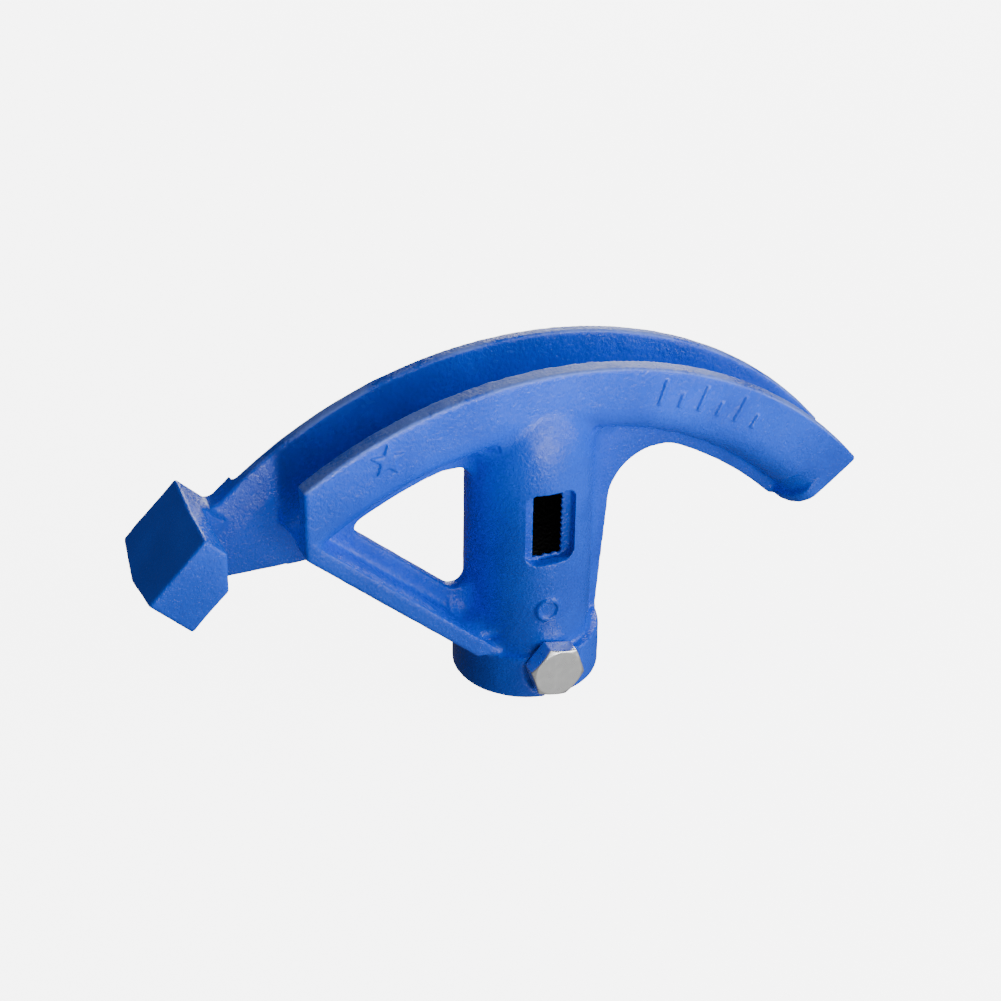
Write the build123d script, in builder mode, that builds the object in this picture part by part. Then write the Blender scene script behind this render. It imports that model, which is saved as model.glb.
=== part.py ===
from build123d import *

import os
from math import asin, cos, degrees, radians, sin, sqrt

# Head of a hand rebar bender: a one-piece iron casting and its hexagon clamp screw.
# Millimetres and degrees. The origin is the centre of the handle socket's mouth, +Z runs up
# the socket, +X towards the open end of the bending shoe and +Y to the back, where the shoe
# carries on as a plate that holds the hook. Angles on the shoe are counted about the bending
# axis, which is parallel to Y, from straight up, and are positive towards +X.

# ---- Driving dimensions ----

# Bending shoe: a channel swept about the bending axis
axis_x = -1.2
axis_z = -30.0
rim_radius = 146.2
floor_radius = 125.0  # bottom of the groove that the bar lies in
back_radius = 120.7  # lowest line of the channel's rounded back
shoulder_radius = 132.0  # where the flanges' flat sides begin to round in
half_width = 15.7
groove_half_width = 9.2
groove_wall_radius = floor_radius + groove_half_width
groove_wall_y = 9.4  # inner face of the rear plate below the groove
groove_reach = 60.0  # angle to which the groove's cut is swept, past both ends of the shoe
front_mouth = 9.4  # half width of the groove at the front rim
rear_mouth = 11.5  # and at the rear rim, which is thinner
front_end_x = -81.5  # upright cut that ends the groove on the hook's side
open_end_angle = 51.5
lip_angle = 2.2  # the flange that closes the open end, as an angle
lip_corner = 1.2
foot_radius = 128.5  # centre of the lip's rounded foot
foot_depth = 10.2
valley_angle = 3.4  # the back is drawn in further ahead of the lip
valley_radius = 134.5  # where it begins to round in there
rear_rim_angle = -43.0  # where the rear rim runs into the hook
trim_x = -55.0  # the brace's underside shows from the upright cut to here

# Web between the channel and the socket, and the brace that closes it below
web_half = 2.5
window_arc_radius = 115.0  # the web shows below the channel's back over the window
arch_arc_x = -13.2  # the arch's crown is a flatter arc, lower at the tube than at the lip
arch_arc_z = -51.0
arch_arc_radius = 140.0
brace_slope = 41.7  # the brace's underside climbs towards the hook
brace_end_z = 67.5  # underside of the brace at the upright cut
brace_thickness = 5.8
window_margin = 12.0  # from the brace's underside to the three-cornered window
window_corner = 3.5
window_foot_corner = 5.0
arch_x_low = 23.4
arch_x_high = 29.8
arch_corner = 17.5

# Rear plate and hook
plate_foot_z = 50.0
hook_angle = -45.6  # direction of the hook's outer face, square to the bar
hook_inner = 141.0  # distances from the bending axis
hook_outer = 160.1
hook_front_y = -17.0
hook_rear_y = 19.0  # the plate is as thick as this beside the hook
hook_spans = {  # from where to where along the bar, away from the groove, at each y
    hook_rear_y: (-4.6, 20.9),
    0.0: (-3.2, 25.5),
    hook_front_y: (-2.6, 24.5),
}
pad_angle = -39.5
pad_foot_x = -98.0
hook_cut_x = -107.0  # the hook's front corner is cut upright to clear the bar

# Socket for a one-inch pipe handle, 33.4 outside
tube_radius = 21.0
collar_radius = 24.4
collar_height = 15.8
bore_radius = 17.0
bore_depth = 82.0
mouth_radius = 17.4  # relieved as far as the clamp screw
mouth_depth = 18.5
dome_z = 81.0  # where the tube begins to draw in to its domed top
dome_height = 32.0

# Opening in the front of the tube: a flat-bottomed pocket that breaks into the bore
pocket_x = -0.45
pocket_width = 17.0
pocket_low_z = 49.9
pocket_high_z = 76.3
pocket_floor_y = -16.2
pocket_corner = 4.0

# M10 clamp screw, 12 long under the head, and its spot face
screw_z = 11.36
screw_radius = 4.95
tapped_radius = 5.0
screw_length = 12.0
screw_tip_chamfer = 1.0
head_flats = 17.0
head_height = 6.4
head_face_y = -28.0
head_turn = -12.4
head_crown_radius = 8.1  # flat top inside the head's chamfer
head_chamfer_angle = 28.0
spot_radius = 10.4
spot_floor_y = -21.5

# ---- Worked out from the above ----

hub = Vector(axis_x, 0, axis_z)
bend_axis = Axis((axis_x, 0, axis_z), (0, 1, 0))
head_underside_y = head_face_y + head_height
head_corner_radius = head_flats / sqrt(3)
overrun = 5.0  # how far a cutting body runs past what it cuts


def on_shoe(radius, angle):
    """The x and z of a point at a radius and angle about the bending axis."""
    turn = radians(angle)
    return axis_x + radius * sin(turn), axis_z + radius * cos(turn)


def angle_at_x(radius, x):
    """The angle at which a circle about the bending axis passes a given x."""
    return degrees(asin((x - axis_x) / radius))


def radial_plane(angle):
    """The plane through the bending axis at an angle: local x is the radius, local y is +Y."""
    turn = radians(angle)
    return Plane(
        origin=hub,
        x_dir=(sin(turn), 0, cos(turn)),
        z_dir=(-cos(turn), 0, sin(turn)),
    )


def side_plane(y):
    """An upright plane at y whose local x and y are the frame's X and Z; it faces -Y."""
    return Plane(origin=(0, y, 0), x_dir=(1, 0, 0), z_dir=(0, -1, 0))


def underside_z(x, above=0.0):
    """Height of the brace's underside at x, or of a line parallel to it and above it."""
    climb = radians(brace_slope)
    return brace_end_z - (x - front_end_x) * sin(climb) / cos(climb) + above / cos(climb)


def underside_x(z):
    """Where the brace's underside reaches a given height."""
    climb = radians(brace_slope)
    return front_end_x + (brace_end_z - z) * cos(climb) / sin(climb)


def hook_point(distance, along):
    """The x and z of a point at a distance from the bending axis and so far along the bar."""
    turn = radians(hook_angle)
    x, z = on_shoe(distance, hook_angle)
    return x - along * cos(turn), z + along * sin(turn)


# ---- The casting ----

channel_left_angle = angle_at_x(back_radius, front_end_x) - 1.0
web_radius = (back_radius + floor_radius) / 2  # inside the channel's floor
web_right_angle = open_end_angle - 1.0
inside_socket_x = 14.0  # webs and brace run this far into the tube, short of its axis
round_depth = shoulder_radius - back_radius
round_width = half_width - web_half

# Three-cornered window between the channel, the brace and the tube
window_right_x = 0.2 - tube_radius
with BuildSketch(side_plane(0)) as window:
    low_left = -75.0
    with BuildLine():
        Polyline(
            (low_left, underside_z(low_left, window_margin)),
            (window_right_x, underside_z(window_right_x, window_margin)),
            (window_right_x, dome_z),
            (low_left, dome_z),
            close=True,
        )
    make_face()
    with Locations((axis_x, axis_z)):
        Circle(window_arc_radius, mode=Mode.INTERSECT)
    fillet(window.vertices().sort_by(Axis.Y)[0], window_foot_corner)
    fillet(window.vertices().sort_by(Axis.Y)[-1], window_corner)
    fillet(window.vertices().sort_by(Axis.X)[0], window_corner)

# Arch between the tube and the open half of the shoe
arch_z = arch_arc_z + sqrt(arch_arc_radius**2 - (arch_x_high - arch_arc_x) ** 2)
with BuildSketch(side_plane(0)) as arch:
    with BuildLine():
        Polyline(
            (arch_x_low, 0),
            (arch_x_high, arch_z),
            (arch_x_high, rim_radius),
            (rim_radius, rim_radius),
            (rim_radius, 0),
            close=True,
        )
    make_face()
    with Locations((arch_arc_x, arch_arc_z)):
        Circle(arch_arc_radius, mode=Mode.INTERSECT)
    fillet(arch.vertices().sort_by(Axis.Y)[-1], arch_corner)

with BuildPart() as bender_head:
    # Channel: flat flanges that round in to a narrow back
    with BuildSketch(radial_plane(channel_left_angle)):
        with BuildLine():
            Line((rim_radius, -half_width), (shoulder_radius, -half_width))
            EllipticalCenterArc(
                (shoulder_radius, -web_half), round_depth, round_width, start_angle=180, arc_size=90
            )
            Line((back_radius, -web_half), (back_radius, web_half))
            EllipticalCenterArc(
                (shoulder_radius, web_half), round_depth, round_width, start_angle=90, arc_size=90
            )
            Line((shoulder_radius, half_width), (rim_radius, half_width))
            Line((rim_radius, half_width), (rim_radius, -half_width))
        make_face()
    revolve(axis=bend_axis, revolution_arc=open_end_angle - channel_left_angle)

    # Valley ahead of the lip
    lip_start_angle = open_end_angle - lip_angle
    with BuildSketch(radial_plane(lip_start_angle - valley_angle)):
        with Locations((valley_radius, 0)):
            Rectangle(
                valley_radius - back_radius, 2 * half_width, align=(Align.MAX, Align.CENTER)
            )
            Ellipse(valley_radius - back_radius, half_width, mode=Mode.SUBTRACT)
    revolve(axis=bend_axis, revolution_arc=valley_angle, mode=Mode.SUBTRACT)

    # Lip around the channel's open end, with a rounded foot
    with BuildSketch(radial_plane(lip_start_angle)):
        with Locations((foot_radius, 0)):
            Ellipse(foot_depth, half_width)
            Rectangle(
                rim_radius - foot_radius, 2 * half_width, align=(Align.MIN, Align.CENTER)
            )
    revolve(axis=bend_axis, revolution_arc=lip_angle)
    tip_x, tip_z = on_shoe(rim_radius, open_end_angle)
    tip = bender_head.edges().filter_by(Axis.Y).sort_by_distance((tip_x, 0, tip_z))[0]
    fillet(tip, lip_corner)

    # Web
    with BuildSketch(side_plane(0)):
        with BuildLine():
            Polyline(
                on_shoe(web_radius, channel_left_angle),
                (front_end_x, brace_end_z),
                (-inside_socket_x, underside_z(-inside_socket_x)),
                (arch_x_low, screw_z),
                on_shoe(web_radius, web_right_angle),
            )
            ThreePointArc(
                on_shoe(web_radius, web_right_angle),
                on_shoe(web_radius, 0),
                on_shoe(web_radius, channel_left_angle),
            )
        make_face()
    extrude(amount=web_half, both=True)
    extrude(window.sketch, amount=web_half, both=True, mode=Mode.SUBTRACT)
    extrude(arch.sketch, amount=web_half, both=True, mode=Mode.SUBTRACT)

    # Brace, as wide as the shoe, from the hook's end down to the collar
    with BuildSketch(side_plane(0)):
        with BuildLine():
            Polyline(
                (front_end_x, underside_z(front_end_x)),
                (-inside_socket_x, underside_z(-inside_socket_x)),
                (-inside_socket_x, underside_z(-inside_socket_x, brace_thickness)),
                (front_end_x, underside_z(front_end_x, brace_thickness)),
                close=True,
            )
        make_face()
    extrude(amount=half_width, both=True)

    # The upright cut, and the brace's underside where the channel runs out over it
    with BuildSketch(side_plane(0)):
        with BuildLine():
            Polyline(
                (front_end_x, rim_radius),
                (front_end_x, brace_end_z),
                (trim_x, underside_z(trim_x)),
                (trim_x, 0),
                (-rim_radius, 0),
                (-rim_radius, rim_radius),
                close=True,
            )
        make_face()
    extrude(amount=half_width + overrun, both=True, mode=Mode.SUBTRACT)

    # Rear plate, from behind the brace to the hook
    rim_join_angle = angle_at_x(rim_radius, front_end_x) + 1.0
    with BuildSketch(side_plane(groove_wall_y)):
        with BuildLine():
            Polyline(
                on_shoe(rim_radius, rim_join_angle),
                (trim_x, underside_z(trim_x)),
                (underside_x(plate_foot_z), plate_foot_z),
                hook_point(hook_inner, hook_spans[hook_front_y][1]),
                hook_point((hook_inner + hook_outer) / 2, 0),
                on_shoe(rim_radius, rear_rim_angle),
            )
            ThreePointArc(
                on_shoe(rim_radius, rear_rim_angle),
                on_shoe(rim_radius, (rear_rim_angle + rim_join_angle) / 2),
                on_shoe(rim_radius, rim_join_angle),
            )
        make_face()
    extrude(amount=groove_wall_y - half_width)

    # Nothing but the collar below the collar's top
    with BuildSketch():
        Circle(rim_radius)
    extrude(amount=collar_height, mode=Mode.SUBTRACT)

    # Tube with a domed top that blends into both flanges, and the collar at its foot
    Cylinder(tube_radius, dome_z, align=(Align.CENTER, Align.CENTER, Align.MIN))
    with BuildSketch(Plane.XZ):
        with BuildLine():
            Polyline((0, dome_z + dome_height), (0, dome_z), (tube_radius, dome_z))
            EllipticalCenterArc((0, dome_z), tube_radius, dome_height, start_angle=0, arc_size=90)
        make_face()
    revolve(axis=Axis.Z)
    Cylinder(collar_radius, collar_height, align=(Align.CENTER, Align.CENTER, Align.MIN))

    # Groove for the bar, round-bottomed and open at the rim
    with BuildSketch(radial_plane(-groove_reach)):
        with BuildLine():
            Polyline(
                (groove_wall_radius, -groove_half_width),
                (rim_radius, -front_mouth),
                (rim_radius + overrun, -front_mouth),
                (rim_radius + overrun, rear_mouth),
                (rim_radius, rear_mouth),
                (groove_wall_radius, groove_half_width),
            )
            ThreePointArc(
                (groove_wall_radius, groove_half_width),
                (floor_radius, 0),
                (groove_wall_radius, -groove_half_width),
            )
        make_face()
    revolve(axis=bend_axis, revolution_arc=2 * groove_reach, mode=Mode.SUBTRACT)

    # Pad that thickens the rear plate beside the hook
    with BuildSketch(side_plane(half_width)):
        with BuildLine():
            Polyline(
                on_shoe(rim_radius, pad_angle),
                (pad_foot_x, plate_foot_z),
                hook_point(hook_inner, hook_spans[hook_rear_y][1]),
                hook_point((hook_inner + hook_outer) / 2, 0),
                on_shoe(rim_radius, rear_rim_angle),
            )
            ThreePointArc(
                on_shoe(rim_radius, rear_rim_angle),
                on_shoe(rim_radius, (rear_rim_angle + pad_angle) / 2),
                on_shoe(rim_radius, pad_angle),
            )
        make_face()
    extrude(amount=half_width - hook_rear_y)

    # Hook: a block across the shoe that the bar passes under
    for y, (start, end) in hook_spans.items():
        with BuildSketch(side_plane(y)):
            with BuildLine():
                Polyline(
                    hook_point(hook_inner, start),
                    hook_point(hook_outer, start),
                    hook_point(hook_outer, end),
                    hook_point(hook_inner, end),
                    close=True,
                )
            make_face()
    loft(ruled=True)
    with BuildSketch(side_plane(groove_wall_y)):
        with Locations((hook_cut_x, plate_foot_z)):
            Rectangle(
                front_end_x - overrun - hook_cut_x,
                rim_radius,
                align=(Align.MIN, Align.MIN),
            )
    extrude(amount=groove_wall_y - hook_front_y, mode=Mode.SUBTRACT)

    # Handle socket, wider at its mouth
    with Locations(Plane(origin=(0, 0, 0), z_dir=(0, 0, -1))):
        CounterBoreHole(bore_radius, mouth_radius, mouth_depth, bore_depth)

    # Spot face and tapped hole for the clamp screw
    start_y = -collar_radius - overrun
    with Locations(Plane(origin=(0, start_y, screw_z), z_dir=(0, -1, 0))):
        CounterBoreHole(tapped_radius, spot_radius, spot_floor_y - start_y, -start_y)

    # Pocket in the front of the tube
    with BuildSketch(side_plane(pocket_floor_y)):
        with Locations((pocket_x, (pocket_low_z + pocket_high_z) / 2)):
            RectangleRounded(pocket_width, pocket_high_z - pocket_low_z, pocket_corner)
    extrude(amount=tube_radius + pocket_floor_y + overrun, mode=Mode.SUBTRACT)

# ---- The clamp screw ----

screw_axis = Axis((0, 0, screw_z), (0, 1, 0))
crown_depth = (head_corner_radius - head_crown_radius) * sin(radians(head_chamfer_angle)) / cos(
    radians(head_chamfer_angle)
)

with BuildPart() as clamp_screw:
    with BuildSketch(side_plane(head_underside_y)):
        with Locations((0, screw_z)):
            RegularPolygon(head_corner_radius, 6, rotation=head_turn)
    extrude(amount=head_height)

    # Crown: the head's corners are turned off towards its face
    with BuildSketch(Plane.YZ):
        with BuildLine():
            Polyline(
                (head_face_y, screw_z),
                (head_face_y, screw_z + head_crown_radius),
                (head_face_y + crown_depth, screw_z + head_corner_radius),
                (head_underside_y, screw_z + head_corner_radius),
                (head_underside_y, screw_z),
                close=True,
            )
        make_face()
    revolve(axis=screw_axis, mode=Mode.INTERSECT)

    with BuildSketch(side_plane(head_underside_y)):
        with Locations((0, screw_z)):
            Circle(screw_radius)
    extrude(amount=-screw_length)
    chamfer(clamp_screw.edges().sort_by(Axis.Y)[-1], screw_tip_chamfer)

# ---- One file for each piece ----

os.makedirs("parts", exist_ok=True)
bender_head.part.label = "bender_head"
export_step(bender_head.part, "parts/bender_head.step")
clamp_screw.part.label = "clamp_screw"
export_step(clamp_screw.part, "parts/clamp_screw.step")
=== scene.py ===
"""The looks of the rebar bender head: one enamelled iron casting and its zinc-plated clamp screw.

The CAD solids have the true sizes but sharp joints. Here each is turned into a distance field, its
inner corners are filled as a casting's are, its outer edges are worn round, and the field is
meshed again. Everything is in metres, in the CAD model's frame: +Z up the socket, the front at -Y.
"""

import math

import bpy
import numpy as np
import openvdb
from mathutils import Euler, Matrix, Vector


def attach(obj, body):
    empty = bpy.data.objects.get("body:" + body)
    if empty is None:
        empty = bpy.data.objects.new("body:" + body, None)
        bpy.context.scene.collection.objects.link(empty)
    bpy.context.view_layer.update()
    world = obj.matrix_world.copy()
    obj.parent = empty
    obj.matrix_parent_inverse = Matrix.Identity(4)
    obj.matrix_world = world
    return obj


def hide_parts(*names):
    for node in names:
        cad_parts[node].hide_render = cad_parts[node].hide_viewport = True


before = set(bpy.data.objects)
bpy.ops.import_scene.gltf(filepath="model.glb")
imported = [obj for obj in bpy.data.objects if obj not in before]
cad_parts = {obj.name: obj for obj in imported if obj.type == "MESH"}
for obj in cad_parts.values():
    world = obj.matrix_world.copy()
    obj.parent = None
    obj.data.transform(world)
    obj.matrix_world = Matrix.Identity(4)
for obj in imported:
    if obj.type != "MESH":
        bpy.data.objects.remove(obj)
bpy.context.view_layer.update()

MM = 0.001

# The shoe is a ring sector about an axis along Y. The socket tube's bore stands on the origin.
SHOE_X = -1.2 * MM
SHOE_Z = -30.0 * MM
SHOE_BACK = 120.5 * MM
SHOE_RIM = 146.2 * MM
FLANGE_Y = -15.7 * MM
BORE_RADIUS = 17.0 * MM
BORE_TOP = 82.0 * MM

# The box that keeps its sharp edges, round the pocket in the tube's front, and the pocket's slit.
POCKET_LOW = (-9.5 * MM, -23.0 * MM, 49.0 * MM)
POCKET_HIGH = (8.6 * MM, -13.0 * MM, 77.2 * MM)
POCKET_FLOOR_Y = -16.2 * MM
POCKET_X = -0.45 * MM
SLIT_HALF_WIDTH = 5.15 * MM
SLIT_SILL = 1.8 * MM

# The ragged metal at the slit: its size, how deep its middle lies under the pocket's floor, and
# the waves of its edges. A wave is its height in mm, its rate in radians per mm, and its start.
FLASH_HALF_WIDTH = 7.5 * MM
FLASH_HALF_HEIGHT = 14.6 * MM
FLASH_HALF_THICKNESS = 0.5 * MM
FLASH_DEPTH = 0.45 * MM
FLASH_LEFT = ((0.26, 2.3, 0), (0.2, 5.1, 1), (0.16, 9.7, 0))
FLASH_RIGHT = ((0.24, 2.9, 2), (0.22, 6.3, 0))
SILL_HEIGHT = 0.3 * MM
SILL_RATE = 1.9

# The casting: its grid, the rounds of its inner corners and outer edges, and its triangles.
CAST_PITCH = 0.45 * MM
CAST_FILLET = 1.2 * MM
CAST_EDGE = 0.5 * MM
CAST_FACES = 190_000

# Wide fillets where the web and the brace run into the tube, held back a little so that they stay
# under flat faces. Each pair is where they end and where they are full: out from the tube's axis,
# up from the base, out from the shoe's axis, and, on the shoe, sideways from its middle plane.
TUBE_FILLET = 4.0 * MM
TUBE_FILLET_BACK = 0.05 * MM
TUBE_FILLET_OUT = (34 * MM, 28 * MM)
TUBE_FILLET_UP = (17 * MM, 24 * MM)
TUBE_FILLET_GROOVE = (124 * MM, 121 * MM)
TUBE_FILLET_SIDE = (11 * MM, 13 * MM)

# The casting's uneven skin: gentle waves that start this far out from the tube's axis.
WAVES = 40
WAVES_SEED = 7
WAVES_START = (BORE_RADIUS + 0.4 * MM, BORE_RADIUS + MM)
WAVE_HEIGHT = 0.07 * MM
WAVE_SHORTEST = 3.5 * MM
WAVE_LONGEST = 14 * MM

# Raised marks: strokes in a fan and a star on the front flange, and a ring on the tube. Angles are
# in degrees from straight up and lengths from the shoe's axis. Each mark ends at a depth along Y.
MARK_HEIGHT = 0.75 * MM
MARK_SLOPE = 0.35 * MM
FLANGE_MARKS_END = (FLANGE_Y + 1.6 * MM, FLANGE_Y + 0.8 * MM)
STROKES = 6
STROKES_START = 17.0
STROKES_STEP = 3.2
STROKE_HALF = 0.75 * MM
STROKE_FOOT = 134.0 * MM
STROKE_LONG = 143.0 * MM
STROKE_SHORT = 139.0 * MM
STAR_ANGLE = -22.5
STAR_DISTANCE = 138.8 * MM
STAR_POINTS = 5
STAR_RADIUS = 6.2 * MM
STAR_NOTCH = 0.42 * STAR_RADIUS
RING_X = -1.2 * MM
RING_Z = 32.5 * MM
RING_RADIUS = 3.6 * MM
RING_END = (-BORE_RADIUS - 0.5 * MM, -BORE_RADIUS - 1.5 * MM)

# The screw: the height of its axis, its grid and rounds, and the thread M10 x 1.5. The thread is
# cut over a part of each half turn, starts behind the head and stays within the shank's radius.
SCREW_Z = 11.36 * MM
SCREW_UNDERSIDE = -21.6 * MM
SCREW_PITCH = 0.18 * MM
SCREW_FILLET = 0.3 * MM
SCREW_EDGE = 0.25 * MM
THREAD_PITCH = 1.5 * MM
THREAD_DEPTH = 0.8 * MM
THREAD_FLANK = (0.05, 0.95)
THREAD_START = (SCREW_UNDERSIDE + 0.8 * MM, SCREW_UNDERSIDE + 2.0 * MM)
THREAD_RADIUS = (6.2 * MM, 5.6 * MM)

# The enamel: its colours, how strongly they show, its gloss and the depths of its bumps. The bar
# rubs the rims from RUB_START towards +X.
ENAMEL_DEEP = (0.005, 0.080, 0.76, 1)
ENAMEL_LIGHT = (0.008, 0.106, 0.93, 1)
# Painted shade for the inner corners.
ENAMEL_PAINTED_SHADE = (0.006, 0.035, 0.36, 1)
# Pale edges: worn thin paint and a painted highlight.
ENAMEL_EDGE_WEAR_AND_HIGHLIGHT = (0.30, 0.48, 0.95, 1)
ENAMEL_RUBBED = (0.20, 0.32, 0.90, 1)
# Painted shade for the inside of the bore.
BORE_PAINTED_SHADE = (0.016, 0.014, 0.012, 1)
# How strongly the painted corner shade, and the edges' wear and painted highlight, show.
PAINTED_SHADE_SHOWS = 0.45
EDGE_WEAR_AND_HIGHLIGHT_SHOWS = 0.5
RUBBED_SHOWS = 0.7
RUBBED_ROUGHER = 0.2
RUB_START = -96.0 * MM
ENAMEL_SPECULAR = 0.45
ENAMEL_ROUGHNESS = (0.20, 0.32)
LUMPS_DEPTH = 0.12 * MM
GRAIN_DEPTH = 0.32 * MM
SPECKS_DEPTH = 0.12 * MM

# The zinc plate.
ZINC_DULL = (0.84, 0.85, 0.85, 1)
ZINC_BRIGHT = (0.93, 0.93, 0.91, 1)
ZINC_ROUGHNESS = (0.26, 0.42)
PITS_DEPTH = 0.02 * MM

# The studio. A lamp is its name, its place, what it faces, its width and height, its strength and
# its spread in degrees.
FLOOR_HALF = 40.0
PAPER_COLOUR = (0.8, 0.8, 0.8, 1)
PAPER_ROUGHNESS = 0.95
PAPER_GLOW = 6.0
WHITE = (1, 1, 1, 1)
LAMPS = (
    ("key", (0.62, -0.40, 0.38), (0, 0, 0.06), (0.5, 0.5), 0.80, 180),
    ("strip", (0.02, -0.55, 0.12), (0, 0, 0.115), (0.30, 0.06), 0.015, 10),
    ("left", (-0.57, 0.21, 1.10), (0, 0, 0.06), (0.35, 0.35), 0.12, 180),
    ("back", (0.55, 0.95, 0.30), (0, 0, 0.06), (0.5, 0.5), 0.5, 180),
    ("front", (0.13, -0.53, 0.07), (0, 0, 0.1), (0.20, 0.20), 0.32, 180),
)

# The photograph's camera, with its angles in degrees and its lens and sensor in mm.
CAMERA_AZIMUTH = -23.48
CAMERA_ELEVATION = 32.32
CAMERA_ROLL = 0.95
CAMERA_DISTANCE = 0.8857
CAMERA_TARGET = (-7.87 * MM, 4.22 * MM, 61.16 * MM)
CAMERA_LENS = 97.99
CAMERA_SENSOR = 36.0


# ---------------------------------------------------------------- meshes as arrays


def mesh_arrays(mesh):
    """A mesh's points and triangles."""
    points = np.empty(len(mesh.vertices) * 3, np.float32)
    mesh.vertices.foreach_get("co", points)
    mesh.calc_loop_triangles()
    triangles = np.empty(len(mesh.loop_triangles) * 3, np.int32)
    mesh.loop_triangles.foreach_get("vertices", triangles)
    return points.reshape(-1, 3), triangles.reshape(-1, 3)


def shoe_radius(x, z):
    """The distance from the shoe's axis."""
    return np.hypot(x - SHOE_X, z - SHOE_Z)


def shoe_angle(x, z):
    """The angle round the shoe, in radians, from straight up towards +X."""
    return np.arctan2(x - SHOE_X, z - SHOE_Z)


def halved(points, triangles):
    """Each triangle cut in four, with the new points on the shoe pushed out onto its true arcs."""
    edges = np.sort(triangles[:, [0, 1, 1, 2, 2, 0]].reshape(-1, 2), axis=1)
    edges, which = np.unique(edges, axis=0, return_inverse=True)
    which = which.reshape(-1, 3) + len(points)
    ends = points[edges]
    middle = ends.mean(axis=1)

    # An edge on the shoe whose ends are about as far out as each other lies along an arc
    first, second = shoe_radius(ends[..., 0], ends[..., 2]).T
    radius = (first + second) / 2
    on_arc = (radius > SHOE_BACK) & (radius < SHOE_RIM + MM) & (abs(first - second) < 2 * MM)
    angle = shoe_angle(middle[:, 0], middle[:, 2])
    middle[on_arc, 0] = SHOE_X + radius[on_arc] * np.sin(angle[on_arc])
    middle[on_arc, 2] = SHOE_Z + radius[on_arc] * np.cos(angle[on_arc])

    a, b, c = triangles.T
    ab, bc, ca = which.T
    quarters = [(a, ab, ca), (ab, b, bc), (ca, bc, c), (ab, bc, ca)]
    return np.concatenate([points, middle]), np.concatenate([np.stack(q, axis=1) for q in quarters])


# ---------------------------------------------------------------- distance fields


def ramp(start, end, value):
    """0 up to the start, 1 from the end on, and a smooth rise between. Either may be the greater."""
    t = np.clip((value - start) / (end - start), 0, 1)
    return t * t * (3 - 2 * t)


def distance_field(points, triangles, quads, pitch, reach):
    """The signed distance from a closed surface, kept out to a little past reach on both sides."""
    return openvdb.FloatGrid.createLevelSetFromPolygons(
        points,
        triangles=triangles,
        quads=quads,
        transform=openvdb.createLinearTransform(voxelSize=pitch),
        halfWidth=reach / pitch + 2,
    )


def offset_surface(field, distance):
    """The surface at a distance outside the field's own, or inside it where that is negative."""
    points, triangles, quads = field.convertToPolygons(isovalue=distance, adaptivity=0.0)
    return points, triangles.astype(np.uint32), quads.astype(np.uint32)


def solid_field(points, triangles, pitch, reach):
    """The distance field of a solid that is all triangles."""
    no_quads = np.zeros((0, 4), np.uint32)
    return distance_field(points, triangles.astype(np.uint32), no_quads, pitch, reach)


def softened_field(points, triangles, pitch, fillet, edge):
    """A field of the solid with its inner corners filled and its edges rounded.

    The second result is the field's value at the softened surface.
    """
    field = solid_field(points, triangles, pitch, fillet)
    field = distance_field(*offset_surface(field, fillet), pitch, fillet + edge)
    field = distance_field(*offset_surface(field, -fillet - edge), pitch, 2 * edge)
    return field, edge


class Block:
    """A box of grid values that every field of one piece is read into, so that they can be mixed.

    Its corner and its size suit a grid of twice the pitch too, for what needs no fine detail.
    """

    MARGIN = 2

    def __init__(self, low, high, pitch):
        self.half_low = np.floor(np.array(low) / pitch / 2).astype(int) - self.MARGIN
        half_high = np.ceil(np.array(high) / pitch / 2).astype(int) + self.MARGIN
        self.half_shape = half_high + 1 - self.half_low
        self.low = 2 * self.half_low
        self.shape = 2 * self.half_shape - 1
        self.pitch = pitch
        axes = [(self.low[k] + np.arange(self.shape[k])) * pitch for k in range(3)]
        self.x = axes[0].astype(np.float32)[:, None, None]
        self.y = axes[1].astype(np.float32)[None, :, None]
        self.z = axes[2].astype(np.float32)[None, None, :]

    def read(self, field, shift):
        """The field's values less a shift, at the block's own pitch."""
        values = np.empty(self.shape, np.float32)
        field.copyToArray(values, ijk=self.low.tolist())
        return values - np.float32(shift)

    def read_coarse(self, field, shift):
        """The same for a field of twice the pitch, with the values between filled in."""
        values = np.empty(self.half_shape, np.float32)
        field.copyToArray(values, ijk=self.half_low.tolist())
        for axis in range(3):
            values = np.moveaxis(values, axis, 0)
            finer = np.empty((2 * len(values) - 1, *values.shape[1:]), np.float32)
            finer[::2] = values
            finer[1::2] = (values[:-1] + values[1:]) / 2
            values = np.moveaxis(finer, 0, axis)
        return values - np.float32(shift)

    def surface(self, values):
        """The zero surface of the values, as points and faces that look outwards."""
        far_outside = 4 * self.pitch
        field = openvdb.FloatGrid(far_outside)
        field.transform = openvdb.createLinearTransform(voxelSize=self.pitch)
        field.gridClass = openvdb.GridClass.LEVEL_SET
        field.copyFromArray(np.ascontiguousarray(values, np.float32), ijk=self.low.tolist())
        points, triangles, quads = offset_surface(field, 0.0)
        return points, triangles[:, ::-1], quads[:, ::-1]


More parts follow.
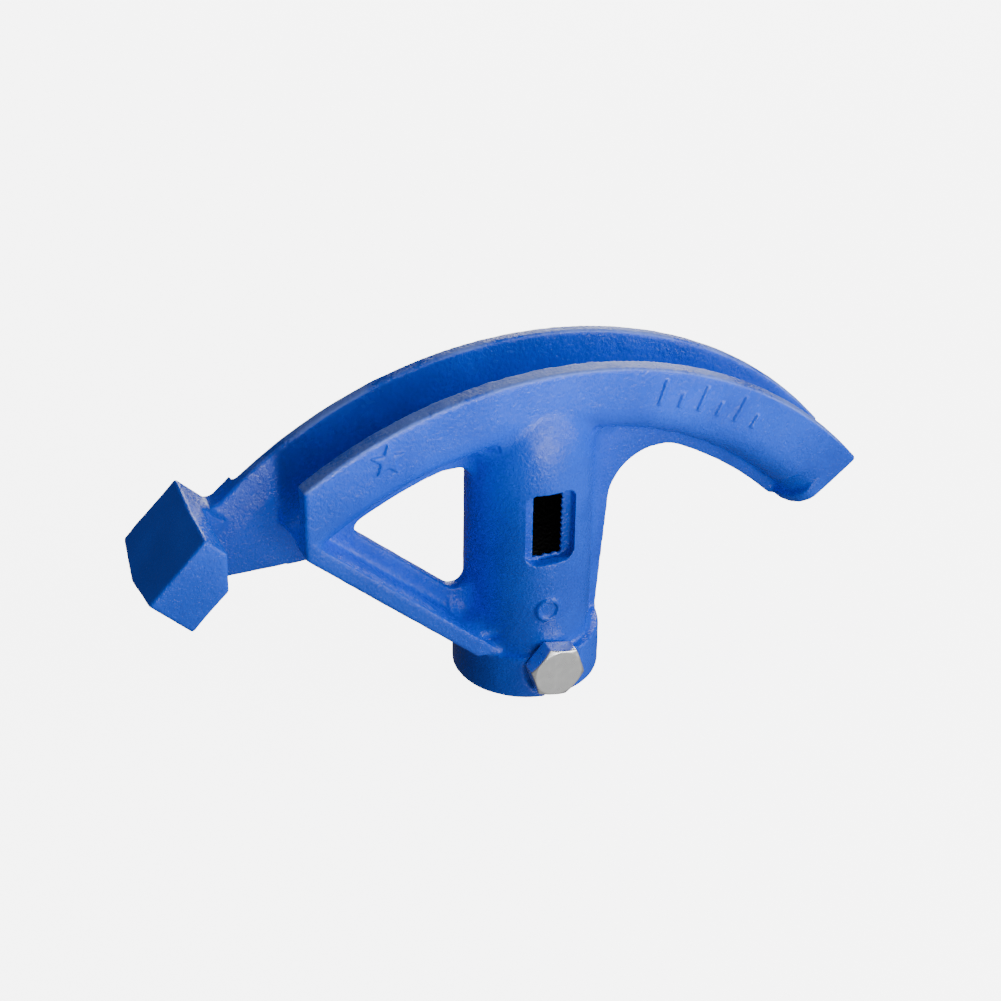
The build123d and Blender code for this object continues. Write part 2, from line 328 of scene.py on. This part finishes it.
def uneven(mesh):
    """Moves a mesh's points in and out by gentle waves in many directions, as a sand mould's are.

    The bore and the base stay true.
    """
    points = np.empty(len(mesh.vertices) * 3)
    mesh.vertices.foreach_get("co", points)
    points = points.reshape(-1, 3)
    normals = np.empty(len(mesh.vertices) * 3)
    mesh.vertex_normals.foreach_get("vector", normals)
    rng = np.random.default_rng(WAVES_SEED)
    waves = np.zeros(len(points))
    for length in np.geomspace(WAVE_SHORTEST, WAVE_LONGEST, WAVES):
        direction = rng.normal(size=3)
        direction *= 2 * math.pi / length / np.linalg.norm(direction)
        waves += np.sin(points @ direction + rng.uniform(0, 2 * math.pi)) * length / WAVE_LONGEST
    outside = ramp(*WAVES_START, np.hypot(points[:, 0], points[:, 1]))
    waves *= WAVE_HEIGHT / math.sqrt(WAVES) * outside * ramp(0, MM, points[:, 2])
    points += waves[:, None] * normals.reshape(-1, 3)
    mesh.vertices.foreach_set("co", points.ravel())
    mesh.update()


def thinned(piece, faces):
    """Takes a piece down to a number of triangles, from where its surface is flattest."""
    triangles = sum(len(polygon.vertices) - 2 for polygon in piece.data.polygons)
    piece.modifiers.new("thin", "DECIMATE").ratio = faces / triangles
    graph = bpy.context.evaluated_depsgraph_get()
    mesh = bpy.data.meshes.new_from_object(piece.evaluated_get(graph))
    piece.modifiers.clear()
    piece.data = mesh
    piece.data.shade_smooth()


def new_object(name, points, triangles, quads):
    """A smooth mesh object."""
    mesh = bpy.data.meshes.new(name)
    corners = np.concatenate([triangles.ravel(), quads.ravel()])
    sizes = np.repeat([3, 4], [len(triangles), len(quads)])
    mesh.vertices.add(len(points))
    mesh.vertices.foreach_set("co", points.ravel())
    mesh.loops.add(len(corners))
    mesh.loops.foreach_set("vertex_index", corners)
    mesh.polygons.add(len(sizes))
    mesh.polygons.foreach_set("loop_start", np.cumsum(sizes) - sizes)
    mesh.update(calc_edges=True)
    mesh.shade_smooth()
    piece = bpy.data.objects.new(name, mesh)
    bpy.context.scene.collection.objects.link(piece)
    return piece


# ---------------------------------------------------------------- materials


class Nodes:
    """A material's node tree, with short ways to add nodes to it."""

    def __init__(self, name):
        self.material = bpy.data.materials.new(name)
        self.material.use_nodes = True
        self.tree = self.material.node_tree
        self.shader = self.tree.nodes["Principled BSDF"]
        self.place = self.add("ShaderNodeTexCoord").outputs["Object"]

    def add(self, kind, inputs=None, **settings):
        node = self.tree.nodes.new(kind)
        for key, value in settings.items():
            setattr(node, key, value)
        for key, value in (inputs or {}).items():
            self.put(node.inputs[key], value)
        return node

    def put(self, socket, value):
        """Links the value to the socket where it is another node's output, or else sets it."""
        if isinstance(value, bpy.types.NodeSocket):
            self.tree.links.new(value, socket)
        else:
            socket.default_value = value

    def noise(self, size, detail=2.0, roughness=0.5):
        """Noise from 0 to 1 whose lumps are about the given size across."""
        inputs = {"Vector": self.place, "Scale": 1 / size, "Detail": detail, "Roughness": roughness}
        return self.add("ShaderNodeTexNoise", inputs).outputs["Fac"]

    def math(self, operation, a, b=0.0):
        return self.add("ShaderNodeMath", {0: a, 1: b}, operation=operation).outputs[0]

    def plus(self, a, b):
        return self.math("ADD", a, b)

    def times(self, a, b):
        return self.math("MULTIPLY", a, b)

    def length(self, a, b):
        """The length of the flat vector whose parts are a and b."""
        return self.math("SQRT", self.plus(self.math("POWER", a, 2.0), self.math("POWER", b, 2.0)))

    def rise(self, value, start, end, low=0.0, high=1.0):
        """low up to the start, high from the end on, and a smooth rise between, as in ramp."""
        inputs = {0: value, 1: start, 2: end, 3: low, 4: high}
        return self.add("ShaderNodeMapRange", inputs, interpolation_type="SMOOTHSTEP").outputs[0]

    def mix(self, factor, a, b):
        """The colour a, or b where the factor is 1."""
        return self.add("ShaderNodeMix", {0: factor, 6: a, 7: b}, data_type="RGBA").outputs[2]

    def bump(self, height, depth, under=None):
        """Raises the surface by depth times the height, on top of another bump."""
        inputs = {"Height": height, "Distance": depth}
        if under is not None:
            inputs["Normal"] = under
        return self.add("ShaderNodeBump", inputs).outputs[0]


def blue_enamel():
    """Glossy enamel over sand-cast iron: grainy, patchy, worn pale on the rims the bar rubs."""
    nodes = Nodes("blue_enamel")
    grain = nodes.noise(1.1 * MM, detail=3.0, roughness=0.6)
    lumps = nodes.noise(3.5 * MM)
    patches = nodes.noise(22 * MM, detail=3.0)
    specks = nodes.noise(0.7 * MM)
    x, y, z = nodes.add("ShaderNodeSeparateXYZ", {0: nodes.place}).outputs

    # The bar rubs the rims in streaks
    from_axis = nodes.length(nodes.math("SUBTRACT", x, SHOE_X), nodes.math("SUBTRACT", z, SHOE_Z))
    on_rim = nodes.rise(from_axis, SHOE_RIM - 0.9 * MM, SHOE_RIM - 0.3 * MM)
    rim = nodes.times(on_rim, nodes.rise(x, RUB_START, RUB_START + 8 * MM))
    streaks = nodes.rise(nodes.plus(patches, nodes.times(grain, 0.35)), 0.46, 0.74)
    rubbed = nodes.times(rim, streaks)

    # Paler edges, from worn thin paint and a painted highlight, and darker corners, from painted
    # shade
    curve = nodes.add("ShaderNodeNewGeometry").outputs["Pointiness"]
    # Worn thin paint and a painted highlight on the edges, broken by specks
    edges = nodes.times(nodes.rise(curve, 0.53, 0.60), nodes.rise(specks, 0.35, 0.7))
    # Painted shade where the surface turns inwards
    corners = nodes.rise(curve, 0.48, 0.42)

    # The bore, behind the pocket's floor and under the dome, is coloured near black: painted shade
    # deep in the socket
    in_bore = nodes.rise(nodes.length(x, y), BORE_RADIUS + 0.6 * MM, BORE_RADIUS + 0.3 * MM)
    behind = nodes.rise(y, POCKET_FLOOR_Y + 0.9 * MM, POCKET_FLOOR_Y + 1.4 * MM)
    under = nodes.rise(z, BORE_TOP + 1.2 * MM, BORE_TOP + 0.6 * MM)
    painted_bore_shade = nodes.times(in_bore, nodes.times(behind, under))

    colour = nodes.mix(nodes.rise(patches, 0.3, 0.7), ENAMEL_DEEP, ENAMEL_LIGHT)
    # Painted shade in the inner corners
    colour = nodes.mix(nodes.times(corners, PAINTED_SHADE_SHOWS), colour, ENAMEL_PAINTED_SHADE)
    # Worn thin paint and a painted highlight on the edges
    colour = nodes.mix(nodes.times(edges, EDGE_WEAR_AND_HIGHLIGHT_SHOWS), colour, ENAMEL_EDGE_WEAR_AND_HIGHLIGHT)
    colour = nodes.mix(nodes.times(rubbed, RUBBED_SHOWS), colour, ENAMEL_RUBBED)
    # Painted shade inside the bore
    colour = nodes.mix(painted_bore_shade, colour, BORE_PAINTED_SHADE)
    nodes.put(nodes.shader.inputs["Base Color"], colour)
    nodes.shader.inputs["Specular IOR Level"].default_value = ENAMEL_SPECULAR

    rough = nodes.rise(nodes.plus(lumps, patches), 0.7, 1.3, *ENAMEL_ROUGHNESS)
    rough = nodes.plus(rough, nodes.times(rubbed, RUBBED_ROUGHER))
    nodes.put(nodes.shader.inputs["Roughness"], rough)

    surface = nodes.bump(lumps, LUMPS_DEPTH)
    surface = nodes.bump(grain, GRAIN_DEPTH, surface)
    surface = nodes.bump(nodes.times(specks, rubbed), SPECKS_DEPTH, surface)
    nodes.put(nodes.shader.inputs["Normal"], surface)
    return nodes.material


def zinc_plate():
    """Bright zinc: faint blotches, fine pits and a satin grain."""
    nodes = Nodes("zinc_plate")
    blotches = nodes.noise(2.2 * MM, detail=3.0)
    pits = nodes.noise(0.35 * MM)
    nodes.put(nodes.shader.inputs["Base Color"], nodes.mix(blotches, ZINC_DULL, ZINC_BRIGHT))
    nodes.shader.inputs["Metallic"].default_value = 1.0
    nodes.put(nodes.shader.inputs["Roughness"], nodes.rise(blotches, 0.3, 0.7, *ZINC_ROUGHNESS))
    nodes.put(nodes.shader.inputs["Normal"], nodes.bump(pits, PITS_DEPTH))
    return nodes.material


def floor_paper():
    """Pale paper that glows, so that it looks evenly near-white."""
    nodes = Nodes("floor_paper")
    nodes.shader.inputs["Base Color"].default_value = PAPER_COLOUR
    nodes.shader.inputs["Roughness"].default_value = PAPER_ROUGHNESS
    nodes.shader.inputs["Emission Color"].default_value = WHITE
    nodes.shader.inputs["Emission Strength"].default_value = PAPER_GLOW
    return nodes.material


# ---------------------------------------------------------------- pieces


def ragged_edge(waves, z):
    """How far an edge strays from a straight line, at heights in mm."""
    return sum(height * np.sin(rate * z + start) for height, rate, start in waves)


def flash(block):
    """The thin ragged skin of metal in the pocket's floor, at both sides of the slit and its sill."""
    z = block.z / MM
    on_left = block.x < POCKET_X
    ragged = np.where(on_left, ragged_edge(FLASH_LEFT, z), ragged_edge(FLASH_RIGHT, z)) * MM
    from_middle = abs(block.x - POCKET_X)
    edge = SLIT_HALF_WIDTH + ragged - from_middle
    wave = SILL_HEIGHT * np.sin(SILL_RATE * block.x / MM)
    edge = np.minimum(edge, block.z - POCKET_LOW[2] - SLIT_SILL + wave)
    skin = abs(block.y - POCKET_FLOOR_Y - FLASH_DEPTH) - FLASH_HALF_THICKNESS
    sides = from_middle - FLASH_HALF_WIDTH
    ends = abs(block.z - (POCKET_LOW[2] + POCKET_HIGH[2]) / 2) - FLASH_HALF_HEIGHT
    return np.maximum(np.maximum(edge, skin), np.maximum(sides, ends))


def relief(distance):
    """How far a mark stands out, from the distance outside its outline."""
    return MARK_HEIGHT * ramp(MARK_SLOPE, -MARK_SLOPE, distance)


def flange_marks(block):
    """Raised marks on the front flange: a fan of angle strokes, and a star that shows the start."""
    radius = shoe_radius(block.x, block.z)
    angle = np.degrees(shoe_angle(block.x, block.z))
    height = 0
    for k in range(STROKES):
        off = abs(np.radians(angle - STROKES_START - STROKES_STEP * k)) * radius - STROKE_HALF
        top = STROKE_LONG if k % 2 == 0 else STROKE_SHORT
        along = abs(radius - (STROKE_FOOT + top) / 2) - (top - STROKE_FOOT) / 2
        height = np.maximum(height, relief(np.maximum(off, along)))

    # The star's outline, from the angle off the nearest of its tips
    star_angle = math.radians(STAR_ANGLE)
    x = block.x - SHOE_X - STAR_DISTANCE * math.sin(star_angle)
    z = block.z - SHOE_Z - STAR_DISTANCE * math.cos(star_angle)
    step = math.pi / STAR_POINTS
    off_tip = abs((np.arctan2(x, z) + step) % (2 * step) - step)
    across = STAR_RADIUS * np.sin(off_tip) + STAR_NOTCH * np.sin(step - off_tip)
    outline = STAR_RADIUS * STAR_NOTCH * math.sin(step) / across
    height = np.maximum(height, relief(np.hypot(x, z) - outline))
    return height * ramp(*FLANGE_MARKS_END, block.y)


def tube_mark(block):
    """A small raised ring low on the tube's front."""
    off = abs(np.hypot(block.x - RING_X, block.z - RING_Z) - RING_RADIUS) - STROKE_HALF
    return relief(off) * ramp(*RING_END, block.y)


def make_casting():
    """The head: its corners filled, its edges worn, with the slit's ragged metal and the marks."""
    points, triangles = mesh_arrays(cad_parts["bender_head"].data)
    for _ in range(2):
        points, triangles = halved(points, triangles)
    block = Block(points.min(0), points.max(0), CAST_PITCH)
    values = block.read(*softened_field(points, triangles, CAST_PITCH, CAST_FILLET, CAST_EDGE))

    # Wide fillets round the tube, but not in the groove
    coarse = 2 * CAST_PITCH
    full = block.read_coarse(*softened_field(points, triangles, coarse, TUBE_FILLET, coarse))
    below_groove = ramp(*TUBE_FILLET_GROOVE, shoe_radius(block.x, block.z))
    beside_groove = ramp(*TUBE_FILLET_SIDE, abs(block.y))
    near_tube = ramp(*TUBE_FILLET_OUT, np.hypot(block.x, block.y))
    near_tube = near_tube * np.maximum(below_groove, beside_groove) * ramp(*TUBE_FILLET_UP, block.z)
    values = np.minimum(values, full + TUBE_FILLET_BACK + (1 - near_tube) * TUBE_FILLET)

    # The pocket and the slit in its floor keep their edges
    sharp = block.read(solid_field(points, triangles, CAST_PITCH, 2 * CAST_EDGE), 0.0)
    sharp = np.minimum(sharp, flash(block))
    inside = 1.0
    for axis, low, high in zip((block.x, block.y, block.z), POCKET_LOW, POCKET_HIGH):
        inside = inside * ramp(low - MM, low, axis) * ramp(high + MM, high, axis)
    values += inside * (sharp - values)
    values -= np.maximum(flange_marks(block), tube_mark(block))

    casting = new_object("bender_casting", *block.surface(values))
    uneven(casting.data)
    thinned(casting, CAST_FACES)
    casting.data.materials.append(blue_enamel())
    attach(casting, "head")
    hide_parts("bender_head")


def make_screw():
    """The hexagon screw with its edges broken and its thread cut."""
    points, triangles = mesh_arrays(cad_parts["clamp_screw"].data)
    block = Block(points.min(0), points.max(0), SCREW_PITCH)
    values = block.read(*softened_field(points, triangles, SCREW_PITCH, SCREW_FILLET, SCREW_EDGE))
    turns = block.y / THREAD_PITCH + np.arctan2(block.z - SCREW_Z, block.x) / (2 * math.pi)
    flank = abs(turns - np.round(turns)) * 2
    depth = THREAD_DEPTH * (1 - ramp(*THREAD_FLANK, flank)) * ramp(*THREAD_START, block.y)
    values = values + depth * ramp(*THREAD_RADIUS, np.hypot(block.x, block.z - SCREW_Z))
    screw = new_object("hexagon_screw", *block.surface(values))
    screw.data.materials.append(zinc_plate())
    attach(screw, "screw")
    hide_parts("clamp_screw")


# ---------------------------------------------------------------- studio


def make_floor():
    """A wide sheet of glowing paper. The head neither mirrors it nor catches light from it."""
    mesh = bpy.data.meshes.new("floor")
    signs = ((-1, -1), (1, -1), (1, 1), (-1, 1))
    corners = [(x * FLOOR_HALF, y * FLOOR_HALF, 0) for x, y in signs]
    mesh.from_pydata(corners, [], [(0, 1, 2, 3)])
    floor = bpy.data.objects.new("floor", mesh)
    bpy.context.scene.collection.objects.link(floor)
    mesh.materials.append(floor_paper())
    floor.visible_diffuse = False
    floor.visible_glossy = False


def make_light(name, place, target, size, strength, spread):
    """A soft lamp at a place, facing a target.

    At the full spread, its strength is what a white card at the target would show.
    """
    away = Vector(place) - Vector(target)
    lamp = bpy.data.lights.new(name, "AREA")
    lamp.shape = "RECTANGLE"
    lamp.size, lamp.size_y = size
    lamp.spread = math.radians(spread)
    lamp.energy = strength * math.pi**2 * away.length_squared
    light = bpy.data.objects.new(name, lamp)
    light.location = place
    light.rotation_euler = away.to_track_quat("Z", "Y").to_euler()
    bpy.context.scene.collection.objects.link(light)


def make_world(even, pool, towards):
    """Light from all round, and a wide pool of more light from one direction."""
    world = bpy.data.worlds.new("studio")
    world.use_nodes = True
    tree = world.node_tree
    background = tree.nodes["Background"]
    background.inputs["Color"].default_value = WHITE
    place = tree.nodes.new("ShaderNodeTexCoord")
    along = tree.nodes.new("ShaderNodeVectorMath")
    along.operation = "DOT_PRODUCT"
    along.inputs[1].default_value = Vector(towards).normalized()
    tree.links.new(place.outputs["Generated"], along.inputs[0])
    link = along.outputs["Value"]
    for operation, value in (("MAXIMUM", 0.0), ("POWER", 2.0), ("MULTIPLY", pool), ("ADD", even)):
        step = tree.nodes.new("ShaderNodeMath")
        step.operation = operation
        step.inputs[1].default_value = value
        tree.links.new(link, step.inputs[0])
        link = step.outputs[0]
    tree.links.new(link, background.inputs["Strength"])
    bpy.context.scene.world = world


def make_camera():
    """A long lens at the photograph's place, a little rolled."""
    lens = bpy.data.cameras.new("camera")
    lens.lens = CAMERA_LENS
    lens.sensor_width = CAMERA_SENSOR
    camera = bpy.data.objects.new("camera", lens)
    tilt = Euler((math.radians(90 - CAMERA_ELEVATION), 0, math.radians(CAMERA_AZIMUTH))).to_matrix()
    turn = tilt @ Matrix.Rotation(math.radians(CAMERA_ROLL), 3, "Z")
    camera.location = Vector(CAMERA_TARGET) + turn @ Vector((0, 0, CAMERA_DISTANCE))
    camera.rotation_euler = turn.to_euler()
    bpy.context.scene.collection.objects.link(camera)
    bpy.context.scene.camera = camera


make_casting()
make_screw()
make_floor()
make_world(even=0.09, pool=0.50, towards=(0.34, -0.78, -0.53))
for lamp_facts in LAMPS:
    make_light(*lamp_facts)
make_camera()
